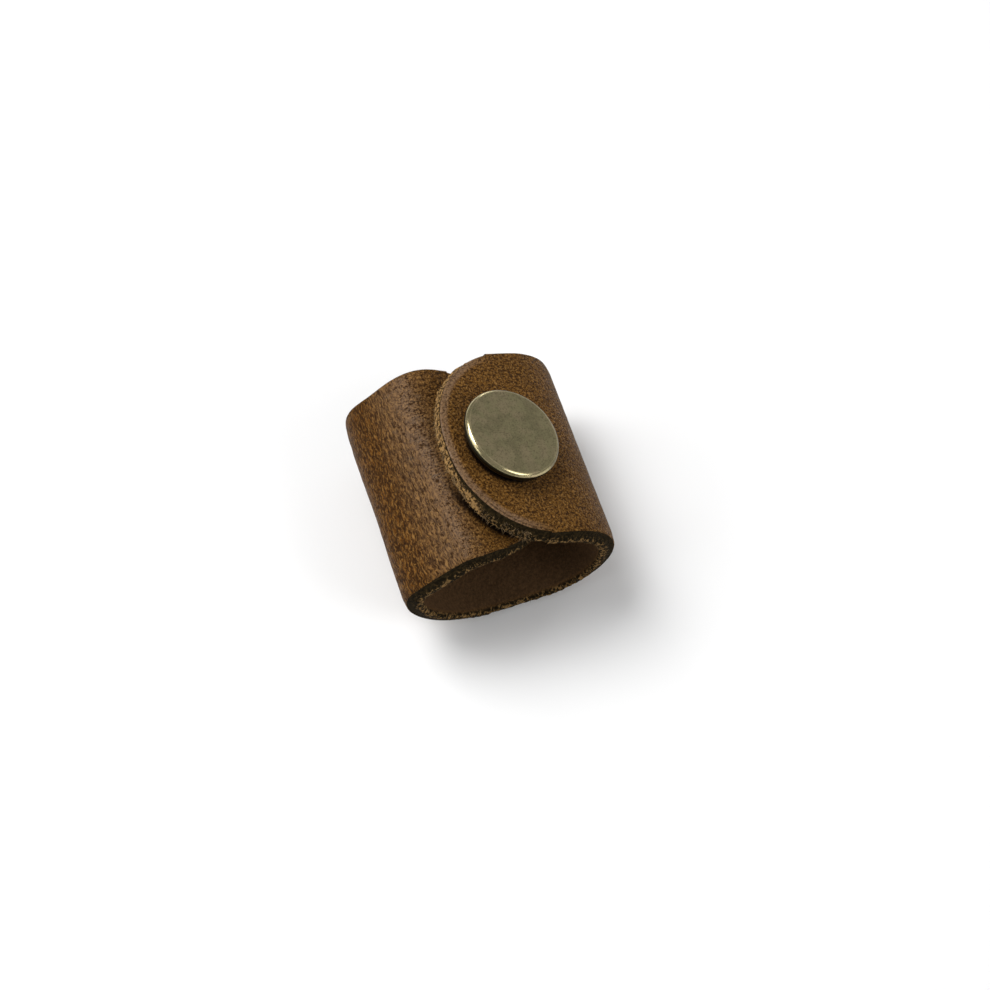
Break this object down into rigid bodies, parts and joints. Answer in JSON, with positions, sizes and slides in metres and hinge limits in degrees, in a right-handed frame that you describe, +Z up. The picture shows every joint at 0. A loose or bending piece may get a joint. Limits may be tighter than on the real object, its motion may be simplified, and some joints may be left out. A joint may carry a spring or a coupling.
{
  "type": "neckerchief slide",
  "caption": "Leather loop that slides over a rolled neckerchief, its overlapping rounded ends held by a snap with an antique-brass cap.",
  "frame": {"origin": "on the surface it rests on, under the middle of the loop's bounding box", "axes": "+Z up, the loop open along Y, the flap's tip towards -X and its fold at +X"},
  "size_m": [0.0276, 0.0258, 0.0255],
  "materials": {
    "brown_leather": "waxed, fine pebbled grain, raw cut edges",
    "antique_brass": "dark patina, satin, rubbed bright at the rim"
  },
  "bodies": {
    "root": {"strap": "brown_leather", "snap_cap": "antique_brass", "snap_socket": "antique_brass", "snap_stud": "antique_brass", "snap_back": "antique_brass"}
  },
  "joints": []
}
